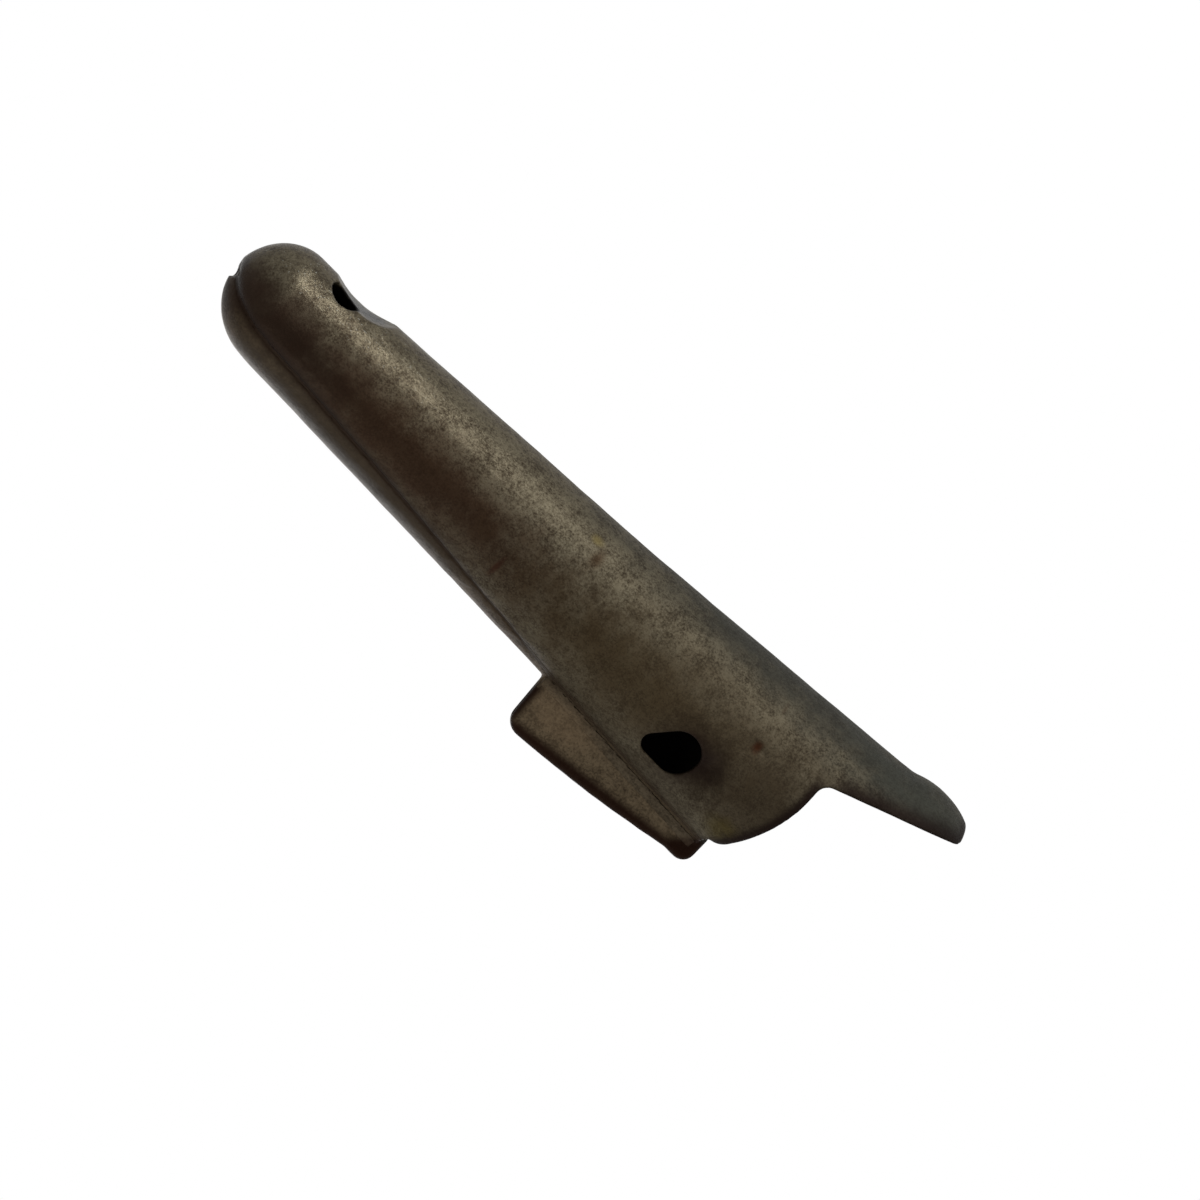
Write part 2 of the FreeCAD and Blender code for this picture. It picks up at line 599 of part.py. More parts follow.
def combine(kind, name, base, tool):
    """A boolean of two forms, refused where it leaves the base's volume as it was."""
    result = doc.addObject(kind, name)
    doc.recompute()
    result.Base = base
    result.Tool = tool
    doc.recompute()
    if abs(result.Shape.Volume - base.Shape.Volume) < smallestChange:
        raise RuntimeError(f"{name} changes nothing")
    return result


# The rolled tube is the outer form less the bore, and both come from one outline.
outer = revolvedForm("OuterForm", 0.0, "0", 1)
bore = revolvedForm("BoreForm", size("sheetThickness"), "Sizes.sheetThickness", 2)
wall = combine("Part::Cut", "RolledWall", outer, bore)

# The wall is pressed in across the barrel where the inlet is punched, inside and out.
DENT_RADIUS = (
    "((Sizes.dimpleLength ^ 2 / 4 + Sizes.dimpleDepth ^ 2) / (2 * Sizes.dimpleDepth))"
)
DENT_SURFACE = f"({SHOULDER_RADIUS} - Sizes.dimpleSetback * tan(Sizes.barrelTaper * 1 deg))"
DENT_CENTRE = f"({DENT_SURFACE} + {DENT_RADIUS} - Sizes.dimpleDepth)"
DENT_TURN = "Sizes.dimpleTurn * 1 deg"
# the pressing cylinder lies square to the barrel, so its own axis starts to one side of it
dentPlace = (
    "-Sizes.dimpleSetback",
    f"{DENT_CENTRE} * sin({DENT_TURN}) + Sizes.cutReach * cos({DENT_TURN})",
    f"-{DENT_CENTRE} * cos({DENT_TURN}) + Sizes.cutReach * sin({DENT_TURN})",
)
dentTurn = "90 + Sizes.dimpleTurn"
dent = cylinder("Dent", DENT_RADIUS, "2 * Sizes.cutReach", dentPlace, dentTurn)
dentBack = cylinder("DentBack", f"{DENT_RADIUS} + Sizes.sheetThickness", "2 * Sizes.cutReach",
                    dentPlace, dentTurn)
pushedIn = combine("Part::Common", "PushedIn", bore, dentBack)
raised = combine("Part::Fuse", "WallWithDimple", wall, pushedIn)
dented = combine("Part::Cut", "DentedWall", raised, dent)

inlet = cylinder("Inlet", "Sizes.inletRadius", "Sizes.cutReach",
                 ("-Sizes.inletSetback", "0", "0"), "180 + Sizes.inletTurn")
tipNotch = cylinder("TipNotch", "Sizes.tipNotchRadius", "2 * Sizes.cutReach",
                    ("-Sizes.noseReach", "Sizes.cutReach", "Sizes.tipNotchHeight"), "90")
tube = dented
for name, form in (
    ("TubeWithInlet", inlet),
    ("TubeWithTipNotch", tipNotch),
    ("TubeWithHookHole", hookForm()),
    ("Tube", mouthForm()),
):
    tube = combine("Part::Cut", name, tube, form)

# The two seams part the tube into the shell and the strip of the keel that closes it on top.
slot = wedge("SlotWedge", 1)
strip = wedge("StripWedge", -1)
bodyShell = combine("Part::Cut", "BodyShell", tube, slot)
coverStrip = combine("Part::Common", "CoverStrip", tube, strip)
finOnStrip = combine("Part::Fuse", "FinOnStrip", coverStrip, finForm())
keel = combine("Part::Cut", "Keel", finOnStrip, foldForm())

# Solder fills the seams up to a shallow groove, and runs into the corners beside the fin.
grooveForm = revolvedForm("GrooveForm", size("seamGroove"), "Sizes.seamGroove", 1)
tubeBelowGroove = combine("Part::Common", "TubeBelowGroove", tube, grooveForm)
gaps = combine("Part::Cut", "SeamGaps", slot, strip)
seamFill = combine("Part::Common", "SeamFill", tubeBelowGroove, gaps)
solderParts = [seamFill]
for name, side in (("NearBead", 1), ("FarBead", -1)):
    solderParts.append(combine("Part::Cut", name + "Fitted", bead(name, side), keel))
solder = doc.addObject("Part::MultiFuse", "SeamSolder")
solder.Shapes = solderParts
doc.recompute()

nodes = {"body_shell": bodyShell, "keel": keel, "seam_solder": solder}
for name, node in nodes.items():
    node.Label = name
    node.Placement = FreeCAD.Placement()

doc.recompute()
for item in doc.Objects:
    if "Invalid" in item.State or "Error" in item.State:
        raise RuntimeError(f"{item.Name} failed")
os.makedirs("parts", exist_ok=True)
for name, node in nodes.items():
    if node.Shape.isNull() or not node.Shape.isValid():
        raise RuntimeError(f"{name} is not a sound solid")
for name, node in nodes.items():
    node.Shape.exportStep(f"parts/{name}.step")
    box = node.Shape.BoundBox
    print(name, len(node.Shape.Solids), "solids", round(node.Shape.Volume, 1), "mm3,",
          f"X {box.XMin:.2f} to {box.XMax:.2f}, Y {box.YMin:.2f} to {box.YMax:.2f},",
          f"Z {box.ZMin:.2f} to {box.ZMax:.2f}")
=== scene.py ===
import math

import bmesh
import bpy
import numpy as np
from mathutils import Matrix, Vector, noise


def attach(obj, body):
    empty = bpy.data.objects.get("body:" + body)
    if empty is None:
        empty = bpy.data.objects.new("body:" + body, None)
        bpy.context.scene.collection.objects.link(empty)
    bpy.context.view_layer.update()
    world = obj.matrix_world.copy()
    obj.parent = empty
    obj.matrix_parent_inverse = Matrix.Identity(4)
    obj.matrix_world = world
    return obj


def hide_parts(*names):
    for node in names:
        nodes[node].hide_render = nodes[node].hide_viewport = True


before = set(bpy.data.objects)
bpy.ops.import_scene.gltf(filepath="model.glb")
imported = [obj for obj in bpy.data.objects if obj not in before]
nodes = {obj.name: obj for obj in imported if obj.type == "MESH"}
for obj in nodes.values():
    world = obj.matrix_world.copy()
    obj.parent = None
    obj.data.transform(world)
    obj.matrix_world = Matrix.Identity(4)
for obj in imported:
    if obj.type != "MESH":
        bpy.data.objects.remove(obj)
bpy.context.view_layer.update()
scene = bpy.context.scene
mm = 0.001  # places and sizes below are in millimetres, and Blender's are in metres
print("frame loaded:", sorted(nodes))

# camera: seen from the side of the hook hole and slightly from the nose
view = {
    "azimuth": 188.0,
    "elevation": 1.0,
    "roll": 136.05,  # puts the nose at the upper left and the lip at the lower right
    "target": (-1.02, 0.0, -1.05),
    "distance": 600.0,
    "field": 110.8,  # width of the picture at the target
    "sensor": 36.0,
}


def placeCamera(given):
    azimuth = math.radians(given["azimuth"])
    elevation = math.radians(given["elevation"])
    back = Vector((math.sin(azimuth) * math.cos(elevation),
                   -math.cos(azimuth) * math.cos(elevation), math.sin(elevation)))
    right = Vector((math.cos(azimuth), math.sin(azimuth), 0))
    up = back.cross(right)
    turn = math.radians(-given["roll"])
    side = right * math.cos(turn) + up * math.sin(turn)
    data = bpy.data.cameras.new("photoCamera")
    data.sensor_width = given["sensor"]
    data.lens = given["sensor"] * given["distance"] / given["field"]
    data.clip_start = 0.01
    camera = bpy.data.objects.new("photoCamera", data)
    scene.collection.objects.link(camera)
    place = Matrix((side, back.cross(side), back)).transposed().to_4x4()
    place.translation = (Vector(given["target"]) + back * given["distance"]) * mm
    camera.matrix_world = place
    scene.camera = camera


placeCamera(view)
scene.view_settings.view_transform = "Standard"
print("camera placed")


# shader node helpers
def put(tree, kind, inputs=None, **settings):
    node = tree.nodes.new("ShaderNode" + kind)
    for key, value in settings.items():
        setattr(node, key, value)
    for key, value in (inputs or {}).items():
        if isinstance(value, bpy.types.NodeSocket):
            tree.links.new(value, node.inputs[key])
        else:
            node.inputs[key].default_value = value
    return node


def calc(tree, operation, *values, clamp=False):
    given = dict(enumerate(values))
    return put(tree, "Math", given, operation=operation, use_clamp=clamp).outputs[0]


def ramp(tree, value, low, high, start=0.0, end=1.0):
    given = {0: value, 1: low, 2: high, 3: start, 4: end}
    return put(tree, "MapRange", given, interpolation_type="SMOOTHSTEP").outputs[0]


# one colour over another where the mask is 1
def lay(tree, mask, under, over):
    return put(tree, "Mix", {0: mask, 6: under, 7: over}, data_type="RGBA").outputs[2]


def colour(*parts):
    return (*parts, 1.0)


def newGroup(name, inputs, outputs):
    tree = bpy.data.node_groups.new(name, "ShaderNodeTree")
    for label, kind, value in inputs:
        socket = tree.interface.new_socket(label, in_out="INPUT",
                                           socket_type="NodeSocket" + kind)
        socket.default_value = value
    for label, kind in outputs:
        tree.interface.new_socket(label, in_out="OUTPUT", socket_type="NodeSocket" + kind)
    entry, leave = tree.nodes.new("NodeGroupInput"), tree.nodes.new("NodeGroupOutput")
    return tree, entry.outputs, leave.inputs


def use(tree, group, inputs):
    return put(tree, "Group", inputs, node_tree=group).outputs


# stage: a pale floor far below, a white background and plain soft lamps
stage = {
    "floorDepth": 450.0,
    "floorSpan": 8000.0,
    "floorColour": colour(0.8, 0.8, 0.8),
    "floorLift": 0.92,
    "ambient": 0.1,
}


def backgroundRays(tree):
    rays = put(tree, "LightPath").outputs
    seen = calc(tree, "ADD", rays["Is Camera Ray"], rays["Is Glossy Ray"])
    return calc(tree, "ADD", seen, rays["Is Transmission Ray"], clamp=True)


def buildStage(given):
    world = bpy.data.worlds.new("studio")
    scene.world = world
    world.use_nodes = True
    tree = world.node_tree
    tree.nodes.clear()
    plain = put(tree, "Background", {"Color": colour(1, 1, 1), "Strength": given["ambient"]})
    white = put(tree, "Background", {"Color": colour(1, 1, 1), "Strength": 1.0})
    rays = backgroundRays(tree)
    both = put(tree, "MixShader", {0: rays, 1: plain.outputs[0], 2: white.outputs[0]})
    put(tree, "OutputWorld", {"Surface": both.outputs[0]})

    material = bpy.data.materials.new("floorWhite")
    material.use_nodes = True
    tree = material.node_tree
    tree.nodes.clear()
    paint = put(tree, "BsdfDiffuse", {"Color": given["floorColour"]})
    lift = calc(tree, "MULTIPLY", backgroundRays(tree), given["floorLift"])
    glow = put(tree, "Emission", {"Color": colour(1, 1, 1), "Strength": lift})
    both = put(tree, "AddShader", {0: paint.outputs[0], 1: glow.outputs[0]})
    put(tree, "OutputMaterial", {"Surface": both.outputs[0]})

    half = given["floorSpan"] * mm / 2
    mesh = bpy.data.meshes.new("floor")
    corners = [(-half, -half, 0), (half, -half, 0), (half, half, 0), (-half, half, 0)]
    mesh.from_pydata(corners, [], [(0, 1, 2, 3)])
    mesh.materials.append(material)
    floor = bpy.data.objects.new("floor", mesh)
    floor.location.z = -given["floorDepth"] * mm
    scene.collection.objects.link(floor)


# each lamp: where it is, what it faces, its width and height, and its power
lamps = {
    "key": {"at": (-30, 165, -295), "facing": (-25, 0, 0), "size": (120, 120), "power": 0.66},
    "frontFill": {"at": (0, 600, -120), "facing": (0, 0, 0), "size": (300, 300), "power": 0.6},
    "topFill": {"at": (60, 130, 420), "facing": (0, 0, 0), "size": (400, 300), "power": 0.45},
    "backFill": {"at": (80, -480, 220), "facing": (0, 0, 0), "size": (400, 400), "power": 0.9},
}


def hangLamp(name, given):
    data = bpy.data.lights.new(name, "AREA")
    data.shape = "RECTANGLE"
    data.size = given["size"][0] * mm
    data.size_y = given["size"][1] * mm
    data.energy = given["power"]
    lamp = bpy.data.objects.new(name, data)
    lamp.location = Vector(given["at"]) * mm
    away = Vector(given["at"]) - Vector(given["facing"])
    lamp.rotation_euler = away.to_track_quat("Z", "Y").to_euler()
    lamp.visible_camera = False
    scene.collection.objects.link(lamp)


buildStage(stage)
for name, given in lamps.items():
    hangLamp(name, given)
print("stage and lamps ready")

# barrel: the cones that the seams, the inside and the wear are measured from
barrel = {
    "noseReach": 46.7,
    "noseRadius": 5.8,
    "shoulderRadius": 7.627,
    "barrelTaper": 2.55,
    "rearTaper": 4.1,
    "seamTanNose": 1.4826,
    "seamTanFin": 0.327,
    "seamStart": -47.7,
}


# outer radius of the barrel's two cones at x
def coneRadius(x):
    front = barrel["shoulderRadius"] + x * math.tan(math.radians(barrel["barrelTaper"]))
    rear = barrel["shoulderRadius"] + x * math.tan(math.radians(barrel["rearTaper"]))
    return np.where(x > 0, rear, front)


# the way out of the barrel at each point, and how far out of its surface the point lies
def surfaceOf(points):
    domeStart = barrel["noseRadius"] - barrel["noseReach"]
    away = np.stack([np.minimum(points[:, 0] - domeStart, 0), points[:, 1], points[:, 2]], 1)
    reach = np.linalg.norm(away, axis=1)
    surface = np.where(points[:, 0] < domeStart, barrel["noseRadius"], coneRadius(points[:, 0]))
    return away / np.maximum(reach, 0.5)[:, None], reach - surface


def seamAngle(x):
    along = np.clip((x - barrel["seamStart"]) / -barrel["seamStart"], 0, 1)
    return np.arctan(barrel["seamTanNose"] + (barrel["seamTanFin"] - barrel["seamTanNose"]) * along)


# distance round the barrel from the nearer seam
def seamDistance(points):
    x, y, z = points.T
    return np.hypot(y, z) * (np.arctan2(np.abs(y), z) - seamAngle(x))


def bell(distance, width):
    return np.exp(-(distance / width) ** 2)


def smooth(value, low, high):
    part = np.clip((value - low) / (high - low), 0, 1)
    return part * part * (3 - 2 * part)


def noiseAt(p, scale, offset):
    shift = Vector((offset, offset * 0.7, -offset))
    return np.array([noise.noise(Vector(q) * scale + shift) for q in p.tolist()])


# skins: even, soft-edged copies of the sheet-metal nodes, worn and dented in code
skins = {
    "shellSkin": {"nodes": ["body_shell"], "slot": "shell_zinc", "voxel": 0.15, "softening": 8,
                  "kept": 0.37},
    "keelSkin": {"nodes": ["keel"], "slot": "keel_zinc", "voxel": 0.14, "softening": 5,
                 "kept": 1.0},
    "seamSkin": {"nodes": ["seam_solder"], "slot": "solder", "voxel": 0.11, "softening": 8,
                 "kept": 1.0},
}
# the solder in the seams, spread over their rounded edges so that each seam is a soft valley
solderFlow = {
    "within": 0.16,
    "spread": 4.5,
    "crust": 0.6,
    "swell": (0.25, 0.35),  # along the barrel, and beside the fin
    "swellStarts": (-6, 0),
}
wearAndSeamShade = {
    "wave": (0.04, 0.16, 3.0),  # height, scale and offset of the slow waves in the sheet
    "ripple": (0.022, 0.7, 11.0),
    "worn": 0.045,  # so that no wave stands out of the CAD model's box
    "seamValley": (0.14, 0.26),  # depth beside the fin, and at the nose
    "seamDeepens": (0, 46),
    "seamWidth": 0.75,
    "seamFade": 0.55,  # how much of the seam's rust and painted shade is left beside the fin
    "seamShade": (0.55, 1.1),  # width of the seam's dark colour: rust and groove shade at the nose, wider painted shade of the valley beside the fin
    "seamFadesIn": (2, 32),
    "shadeNarrows": (-2, 8),
    "noseDroop": 0.25,  # the swaged dome sits a little low on the barrel
    "droopStarts": (39, 44),
    "dentFalloff": 1.5,
}
# heights out of the barrel's surface between which one part fades into the next
layers = {
    "inside": (-0.75, -0.25),
    "barrel": (0.3, 0.8),
    "fin": (0.4, 1.4),
}
# dents: place on the +Y wall, radii along x and across, and depth
dents = {
    "beforeFin": {"x": -5.8, "z": 5.3, "reach": (2.2, 1.2), "depth": 0.28},
    "crownKnock": {"x": 7.65, "z": -7.0, "reach": (1.3, 0.9), "depth": 0.2},
    "rustPit": {"x": 17.7, "z": -1.25, "reach": (0.62, 0.8), "depth": 0.3},
    "hookWear": {"x": 16.0, "z": 3.9, "reach": (1.7, 2.2), "depth": 0.95},
    "upperArc": {"x": 17.4, "z": -5.6, "reach": (0.35, 0.9), "depth": 0.1},
}


# a mesh joined from CAD nodes, with the vertices that shading split welded again
def copyOf(names):
    made = bmesh.new()
    for name in names:
        made.from_mesh(nodes[name].data)
    bmesh.ops.remove_doubles(made, verts=made.verts, dist=1e-6)
    return made


# an even grid fine enough for the thin cut edges, then thinned to the share of faces kept
def evened(name, made, given):
    mesh = bpy.data.meshes.new(name + "Rough")
    made.to_mesh(mesh)
    made.free()
    rough = bpy.data.objects.new(name + "Rough", mesh)
    scene.collection.objects.link(rough)
    remesh = rough.modifiers.new("even", "REMESH")
    remesh.mode = "VOXEL"
    remesh.voxel_size = given["voxel"] * mm
    relax = rough.modifiers.new("relax", "SMOOTH")
    relax.factor = 0.5
    relax.iterations = given["softening"]
    if given["kept"] < 1:
        rough.modifiers.new("thin", "DECIMATE").ratio = given["kept"]
    graph = bpy.context.evaluated_depsgraph_get()
    even = bpy.data.meshes.new_from_object(rough.evaluated_get(graph))
    even.name = name
    bpy.data.objects.remove(rough)
    return even


def readPoints(mesh):
    points = np.empty(len(mesh.vertices) * 3, np.float32)
    mesh.vertices.foreach_get("co", points)
    return points.reshape(-1, 3).astype(float) / mm


def writePoints(mesh, points):
    mesh.vertices.foreach_set("co", (points * mm).astype(np.float32).ravel())
    mesh.update()


def writeMask(mesh, name, values):
    layer = mesh.attributes.new(name, "FLOAT", "POINT")
    layer.data.foreach_set("value", np.clip(values, 0, 1).astype(np.float32))


# rims: the cut edges, by where they run, darkened by rust and by painted shade where the rounded
# edge turns from the light, widest along the lip
rims = {
    "finTop": (13.42, 0.108),  # height at the shoulder, and fall for each mm along
    "finFrom": -1,
    "finBack": 0.25,
    "backShare": 0.7,  # the back end's rim is narrower than the top's
    "backFull": 0.1,
    "finFront": 21.7,
    "finWidth": 1.5,
    "mouthCentre": (7.05, -1.2),
    "mouthRadius": 17.5,
    "mouthWidth": 1.3,
    "mouthFrom": 15,
    "mouthFade": (-4.2, -1.8),
    "lipStart": (24.46, -3.0),
    "lipFall": 0.344,
    "lipWidth": 2.4,
    "lipFade": (24, 27),
    "lipTip": 38.2,
    "tipWidth": 1.5,
    "full": 0.4,  # how far inside the edge a rim has its full colour
}


def rimMask(points, height):
    x, y, z = points.T
    width, full = rims["finWidth"], rims["full"]
    topHeight, topFall = rims["finTop"]
    top = smooth(z - topHeight + topFall * x, -width, -full)
    back = smooth(-x, -rims["finBack"] - rims["backShare"] * width,
                  -rims["finBack"] - rims["backFull"])
    front = smooth(x, rims["finFront"] - width, rims["finFront"] - full)
    ends = np.maximum(back, front)
    fin = np.maximum(top, ends) * smooth(height, *layers["fin"]) * (x > rims["finFrom"])
    centreX, centreZ = rims["mouthCentre"]
    span = np.hypot(x - centreX, z - centreZ) - rims["mouthRadius"]
    mouth = smooth(span, -rims["mouthWidth"], -full) * (x > rims["mouthFrom"])
    mouth = mouth * smooth(z, *rims["mouthFade"])
    lipX, lipZ = rims["lipStart"]
    lipEdge = lipZ - (x - lipX) * rims["lipFall"]
    lip = smooth(z - lipEdge, -rims["lipWidth"], -full) * smooth(x, *rims["lipFade"])
    tip = smooth(x, rims["lipTip"] - rims["tipWidth"], rims["lipTip"] - full)
    return np.maximum.reduce([fin, mouth, lip, tip])


def roughen(mesh):
    points = readPoints(mesh)
    behind = -points[:, 0]
    outward, height = surfaceOf(points)
    outside = smooth(height, *layers["inside"])
    onBarrel = 1 - smooth(height, *layers["barrel"])
    away = seamDistance(points)
    lift = np.full(len(points), -wearAndSeamShade["worn"])
    for swing, scale, offset in (wearAndSeamShade["wave"], wearAndSeamShade["ripple"]):
        lift += swing * noiseAt(points, scale, offset)
    byFin, atNose = wearAndSeamShade["seamValley"]
    depth = byFin + (atNose - byFin) * smooth(behind, *wearAndSeamShade["seamDeepens"])
    lift -= depth * bell(away, wearAndSeamShade["seamWidth"]) * outside * onBarrel
    for dent in dents.values():
        across = (points[:, 0] - dent["x"]) / dent["reach"][0]
        up = (points[:, 2] - dent["z"]) / dent["reach"][1]
        near = np.exp(-(across ** 2 + up ** 2) * wearAndSeamShade["dentFalloff"]) * (points[:, 1] > 0)
        lift -= dent["depth"] * near
    moved = points + outward * lift[:, None]
    moved[:, 2] -= wearAndSeamShade["noseDroop"] * smooth(behind, *wearAndSeamShade["droopStarts"])
    writePoints(mesh, moved)
    # masks for the seam's rust and painted shade, for the rims' rust and painted shade, and for the
    # inside
    fade = wearAndSeamShade["seamFade"] + (1 - wearAndSeamShade["seamFade"]) * smooth(behind, *wearAndSeamShade["seamFadesIn"])
    atNose, byFin = wearAndSeamShade["seamShade"]
    shade = byFin + (atNose - byFin) * smooth(behind, *wearAndSeamShade["shadeNarrows"])
    writeMask(mesh, "rimRustAndShade", rimMask(points, height))
    writeMask(mesh, "seamRustAndShade", bell(away, shade) * outside * onBarrel * fade)
    writeMask(mesh, "inside", 1 - outside)


def flowSolder(made):
    points = np.array([vertex.co for vertex in made.verts]) / mm
    outward, height = surfaceOf(points)
    away = seamDistance(points)
    inSeam = np.abs(away) < solderFlow["within"]
    alongBarrel, besideFin = solderFlow["swell"]
    byFin = smooth(points[:, 0], *solderFlow["swellStarts"])
    swell = alongBarrel + (besideFin - alongBarrel) * byFin
    points += outward * (swell * inSeam * (height > -solderFlow["crust"]))[:, None]
    radius = np.hypot(points[:, 1], points[:, 2])
    turned = seamAngle(points[:, 0]) + away * solderFlow["spread"] / np.maximum(radius, 1.0)
    side = np.sign(points[:, 1])
    points[:, 1] = np.where(inSeam, side * radius * np.sin(turned), points[:, 1])
    points[:, 2] = np.where(inSeam, radius * np.cos(turned), points[:, 2])
    for vertex, point in zip(made.verts, points * mm):
        vertex.co = point


def makeSkin(name, given):
    made = copyOf(given["nodes"])
    if given["slot"] == "solder":
        flowSolder(made)
    mesh = evened(name, made, given)
    roughen(mesh)
    mesh.polygons.foreach_set("use_smooth", [True] * len(mesh.polygons))
    skin = bpy.data.objects.new(name, mesh)
    scene.collection.objects.link(skin)
    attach(skin, "root")
    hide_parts(*given["nodes"])
    print(name, len(mesh.polygons), "faces")
    return skin


made = {name: makeSkin(name, given) for name, given in skins.items()}
print("skins made")


# grain: the fine crystals of old dipped zinc, and specks that are painted bright as glints of
# highlight near the nose
grainSizes = {
    "fine": {"Scale": 4.6, "Detail": 6.0, "Roughness": 0.74},
    "broad": {"Scale": 0.42, "Detail": 3.0},
    "crystals": {"Scale": 1.5},
    "pits": {"Scale": 5.5, "Detail": 2.0},
    "dots": {"Scale": 3.8, "Detail": 2.0},
    "toneShares": (0.75, 0.25, 0.12),  # of the fine noise, the broad noise and the crystals
    "toneRange": (0.38, 0.67),
    "pitRange": (0.40, 0.30),
    "dotRange": (0.62, 0.76),
    "heightShares": (0.7, 0.5),  # of the fine noise and the dots
}


def grainGroup(sizes):
    inputs = [("Place", "Vector", (0, 0, 0)), ("Scale", "Float", 1.0)]
    outputs = [("Tone", "Float"), ("GlintSpecks", "Float"), ("Pits", "Float"), ("Height", "Float")]
    tree, given, out = newGroup("zincGrain", inputs, outputs)
    scaled = put(tree, "VectorMath", {0: given["Place"], "Scale": given["Scale"]},
                 operation="SCALE").outputs[0]

    def noiseOf(name):
        return put(tree, "TexNoise", {"Vector": scaled, **sizes[name]}).outputs[0]

    fine = noiseOf("fine")
    broad = noiseOf("broad")
    crystals = put(tree, "TexVoronoi", {"Vector": scaled, **sizes["crystals"]}, feature="F1")
    fineShare, broadShare, crystalShare = sizes["toneShares"]
    tone = calc(tree, "MULTIPLY_ADD", fine, fineShare, calc(tree, "MULTIPLY", broad, broadShare))
    tone = calc(tree, "MULTIPLY_ADD", crystals.outputs["Distance"], crystalShare, tone)
    tree.links.new(ramp(tree, tone, *sizes["toneRange"]), out["Tone"])
    tree.links.new(ramp(tree, noiseOf("pits"), *sizes["pitRange"]), out["Pits"])
    dots = noiseOf("dots")
    tree.links.new(ramp(tree, dots, *sizes["dotRange"]), out["GlintSpecks"])
    fineShare, dotShare = sizes["heightShares"]
    height = calc(tree, "MULTIPLY_ADD", fine, fineShare, calc(tree, "MULTIPLY", dots, dotShare))
    tree.links.new(height, out["Height"])
    return tree


# patch: a soft, ragged spot of stain, wear or painted shade round one place
patchSizes = {
    "noise": {"Detail": 8.0, "Roughness": 0.65},
    "range": (1.15, 0.15),
    "use": {"Ragged": 1.0, "Scale": 0.35},
}


def patchGroup(sizes):
    inputs = [("Place", "Vector", (0, 0, 0)), ("Centre", "Vector", (0, 0, 0)),
              ("Reach", "Vector", (1, 1, 1)), ("Ragged", "Float", 0.5), ("Scale", "Float", 0.5)]
    tree, given, out = newGroup("stainAndShadePatch", inputs, [("Mask", "Float")])
    offset = put(tree, "VectorMath", {0: given["Place"], 1: given["Centre"]}, operation="SUBTRACT")
    part = put(tree, "VectorMath", {0: offset.outputs[0], 1: given["Reach"]}, operation="DIVIDE")
    span = put(tree, "VectorMath", {0: part.outputs[0]}, operation="LENGTH").outputs["Value"]
    rag = put(tree, "TexNoise",
              {"Vector": given["Place"], "Scale": given["Scale"], **sizes["noise"]})
    shift = calc(tree, "MULTIPLY", calc(tree, "SUBTRACT", rag.outputs[0], 0.5), given["Ragged"])
    tree.links.new(ramp(tree, calc(tree, "ADD", span, shift), *sizes["range"]), out["Mask"])
    return tree


grain = grainGroup(grainSizes)
patch = patchGroup(patchSizes)

# stains and painted shade: centre, reach, colour and strength of each; y is left wide where both
# walls have it
wide = 200.0
stainsAndShade = {
    "shell": [
        {"at": (14, 0, 1), "reach": (20, wide, 8), "tint": (0.066, 0.050, 0.030), "strength": 0.75},
        {"at": (-24, 0, 2.0), "reach": (31, wide, 5.4),
         "tint": (0.026, 0.012, 0.006), "strength": 0.92},
        {"at": (-40, 0, 2.0), "reach": (12, wide, 5.0),
         "tint": (0.016, 0.008, 0.005), "strength": 0.9},
        {"at": (22, 0, 2.5), "reach": (9, wide, 6), "tint": (0.034, 0.024, 0.014), "strength": 0.7},
        {"at": (-45, 0, 1), "reach": (4.5, wide, 3.4),
         "tint": (0.026, 0.015, 0.010), "strength": 0.8},
        {"at": (4, 0, 2.5), "reach": (17, wide, 5.5),
         "tint": (0.048, 0.032, 0.015), "strength": 0.7},
        # painted shade: the next two darken the crown's flank from the hook hole to the lip
        {"at": (14, 0, -9), "reach": (32, wide, 5.0),
         "tint": (0.034, 0.034, 0.028), "strength": 0.9},
        {"at": (34, 0, -8), "reach": (12, wide, 4.5),
         "tint": (0.038, 0.040, 0.033), "strength": 0.85},
        # dark rust round the hook hole, with painted shade of its dished rim
        {"at": (14.0, 8, 4.0), "reach": (5.2, 9, 4.2),
         "tint": (0.010, 0.005, 0.004), "strength": 0.95},
        {"at": (-10.9, 6, 3.3), "reach": (0.4, 4, 1.6),
         "tint": (0.030, 0.010, 0.005), "strength": 0.8},
        {"at": (-5.7, 7, -4.7), "reach": (0.9, 5, 0.6),
         "tint": (0.13, 0.10, 0.035), "strength": 0.7},
        {"at": (-4.7, 7, -3.5), "reach": (0.9, 5, 1.5),
         "tint": (0.034, 0.018, 0.008), "strength": 0.8},
        {"at": (17.7, 9, -1.25), "reach": (0.6, 4, 0.8),
         "tint": (0.038, 0.014, 0.006), "strength": 1.0},
        {"at": (17.4, 9, -5.6), "reach": (0.35, 4, 0.9),
         "tint": (0.040, 0.020, 0.010), "strength": 0.7},
        {"at": (21.2, 5, 6.6), "reach": (2.6, wide, 1.5),
         "tint": (0.060, 0.044, 0.009), "strength": 0.6},
    ],
    "keel": [
        {"at": (-26, 0, 6), "reach": (36, wide, 9),
         "tint": (0.040, 0.029, 0.019), "strength": 0.95},
        {"at": (-45, 0, 2.4), "reach": (6, wide, 2.6),
         "tint": (0.022, 0.012, 0.008), "strength": 0.8},
        {"at": (3.5, 0, 9.6), "reach": (6.5, wide, 2.4),
         "tint": (0.190, 0.135, 0.080), "strength": 0.7},
        {"at": (21, 0, 11.0), "reach": (3.4, wide, 2.2),
         "tint": (0.026, 0.009, 0.004), "strength": 0.9},
    ],
}
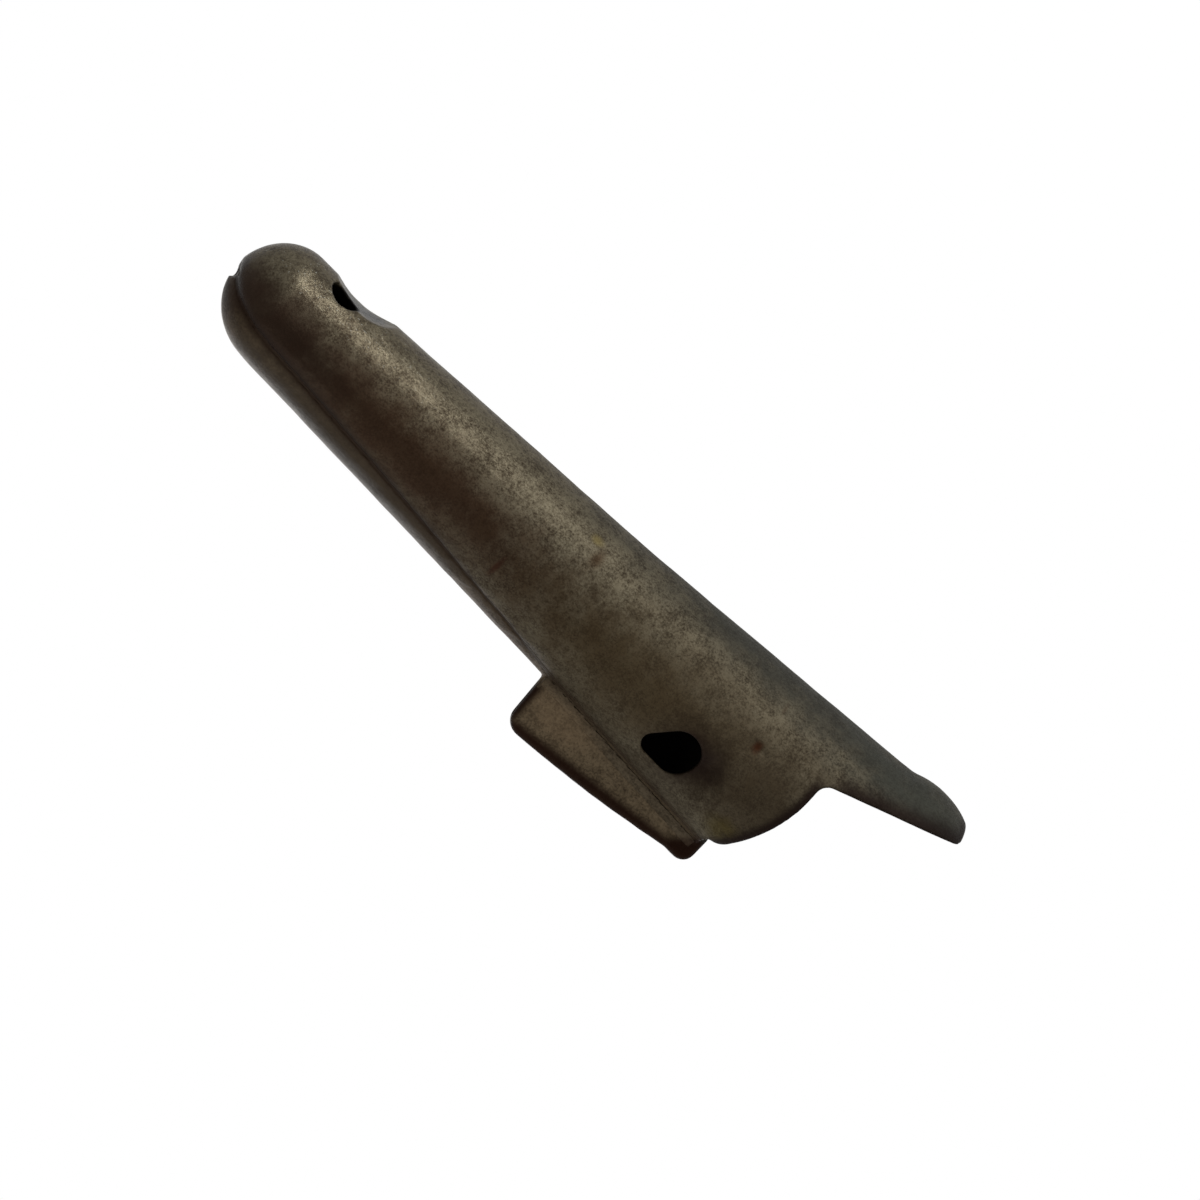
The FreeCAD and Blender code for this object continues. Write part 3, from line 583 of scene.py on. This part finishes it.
zincs = {
    "shell": {
        "grey": colour(0.118, 0.101, 0.068),
        "dark": colour(0.034, 0.025, 0.015),
        "rimRustAndShade": (colour(0.009, 0.005, 0.004), 0.95),
        "grain": 1.0,
        "roughness": (0.31, 0.6),  # near the nose, and near the mouth
        "paintedGlints": 0.55,
    },
    "keel": {
        "grey": colour(0.135, 0.101, 0.062),
        "dark": colour(0.074, 0.053, 0.031),
        "rimRustAndShade": (colour(0.012, 0.0045, 0.0025), 0.97),
        "grain": 0.9,
        "roughness": (0.42, 0.62),
        "paintedGlints": 0.0,
    },
    "solder": {
        "grey": colour(0.090, 0.070, 0.045),
        "dark": colour(0.046, 0.034, 0.021),
        "rimRustAndShade": (colour(0.014, 0.005, 0.003), 0.6),
        "grain": 0.8,
        "roughness": (0.42, 0.62),
        "paintedGlints": 0.0,
    },
}
zincCommon = {
    # rust in the seam's groove, with painted shade of the groove and of the valley beside the fin
    "seamRustAndShade": colour(0.014, 0.007, 0.004),
    "pit": colour(0.013, 0.009, 0.006),
    # painted shade inside the barrel: nearly black deep in, and a lighter colour near the mouth
    "paintedShadeDeep": colour(0.003, 0.0026, 0.0022),
    "mouth": colour(0.040, 0.034, 0.026),
    # painted highlight: the colour of the glints of bright zinc near the nose
    "paintedGlint": colour(0.34, 0.34, 0.30),
    "metallic": 0.4,
    "specular": 0.15,
    "grazing": colour(0.30, 0.27, 0.22),
    "bump": 0.00004,
    "mottle": 0.35,
    "pitShare": 0.45,
    "glintAlong": (-18.0, -44.0),
    "glintHeight": (-1.2, -3.0),
    "seamShare": 0.85,
    "mouthAlong": (15.0, 27.0),
    "roughAlong": (-44.0, 12.0),
    "roughGrain": -0.12,
    "roughLift": 0.06,
}


def zincMaterial(name, marks, given):
    material = bpy.data.materials.new(name)
    material.use_nodes = True
    tree = material.node_tree
    tree.nodes.clear()
    coords = put(tree, "TexCoord").outputs["Object"]
    place = put(tree, "VectorMath", {0: coords, "Scale": 1 / mm}, operation="SCALE").outputs[0]
    along, _, height = put(tree, "SeparateXYZ", {0: place}).outputs
    zincGrain = use(tree, grain, {"Place": place, "Scale": given["grain"]})

    def attribute(label):
        return put(tree, "Attribute", attribute_name=label).outputs["Fac"]

    base = lay(tree, zincGrain["Tone"], given["dark"], given["grey"])
    for mark in marks:
        mask = use(tree, patch, {"Place": place, "Centre": mark["at"], "Reach": mark["reach"],
                                 **patchSizes["use"]})["Mask"]
        mask = calc(tree, "MULTIPLY", mask, mark["strength"])
        base = lay(tree, mask, base, colour(*mark["tint"]))
    swing = zincCommon["mottle"]
    mottle = calc(tree, "MULTIPLY_ADD", zincGrain["Tone"], -swing, swing)
    pits = calc(tree, "MULTIPLY", zincGrain["Pits"], zincCommon["pitShare"])
    mottle = calc(tree, "MAXIMUM", mottle, pits)
    base = lay(tree, mottle, base, zincCommon["pit"])
    # painted highlight: bright specks near the nose, only on the lit upper side of the barrel
    nearNose = calc(tree, "MULTIPLY", ramp(tree, along, *zincCommon["glintAlong"]), given["paintedGlints"])
    nearNose = calc(tree, "MULTIPLY", nearNose, ramp(tree, height, *zincCommon["glintHeight"]))
    paintedGlints = calc(tree, "MULTIPLY", zincGrain["GlintSpecks"], nearNose)
    base = lay(tree, paintedGlints, base, zincCommon["paintedGlint"])
    # the seam's rust, with painted shade in its groove and in the valley beside the fin
    seamRustAndShade = calc(tree, "MULTIPLY", attribute("seamRustAndShade"), zincCommon["seamShare"])
    base = lay(tree, seamRustAndShade, base, zincCommon["seamRustAndShade"])
    # the cut edges' rust, with painted shade where the rounded edges turn away from the light
    rimColour, rimStrength = given["rimRustAndShade"]
    rimRustAndShade = calc(tree, "MULTIPLY", attribute("rimRustAndShade"), rimStrength)
    base = lay(tree, rimRustAndShade, base, rimColour)
    # painted shade inside the barrel, nearly black deep in and lighter towards the mouth
    nearMouth = ramp(tree, along, *zincCommon["mouthAlong"])
    paintedInsideShade = lay(tree, nearMouth, zincCommon["paintedShadeDeep"], zincCommon["mouth"])
    base = lay(tree, attribute("inside"), base, paintedInsideShade)
    rough = ramp(tree, along, *zincCommon["roughAlong"], *given["roughness"])
    rough = calc(tree, "ADD", rough, zincCommon["roughLift"])
    rough = calc(tree, "MULTIPLY_ADD", zincGrain["Tone"], zincCommon["roughGrain"], rough)
    bump = put(tree, "Bump", {"Height": zincGrain["Height"], "Strength": 1.0,
                              "Distance": zincCommon["bump"]})
    shader = put(tree, "BsdfPrincipled", {
        "Base Color": base, "Roughness": rough, "Metallic": zincCommon["metallic"],
        "Specular IOR Level": zincCommon["specular"], "Specular Tint": zincCommon["grazing"],
        "Normal": bump.outputs[0],
    })
    put(tree, "OutputMaterial", {"Surface": shader.outputs[0]})
    return material


shellZinc = zincMaterial("shellZinc", stainsAndShade["shell"], zincs["shell"])
keelZinc = zincMaterial("keelZinc", stainsAndShade["keel"], zincs["keel"])
solderZinc = zincMaterial("solderZinc", stainsAndShade["keel"], zincs["solder"])
for name, material in (("shellSkin", shellZinc), ("keelSkin", keelZinc), ("seamSkin", solderZinc)):
    made[name].data.materials.clear()
    made[name].data.materials.append(material)
print("materials ready")
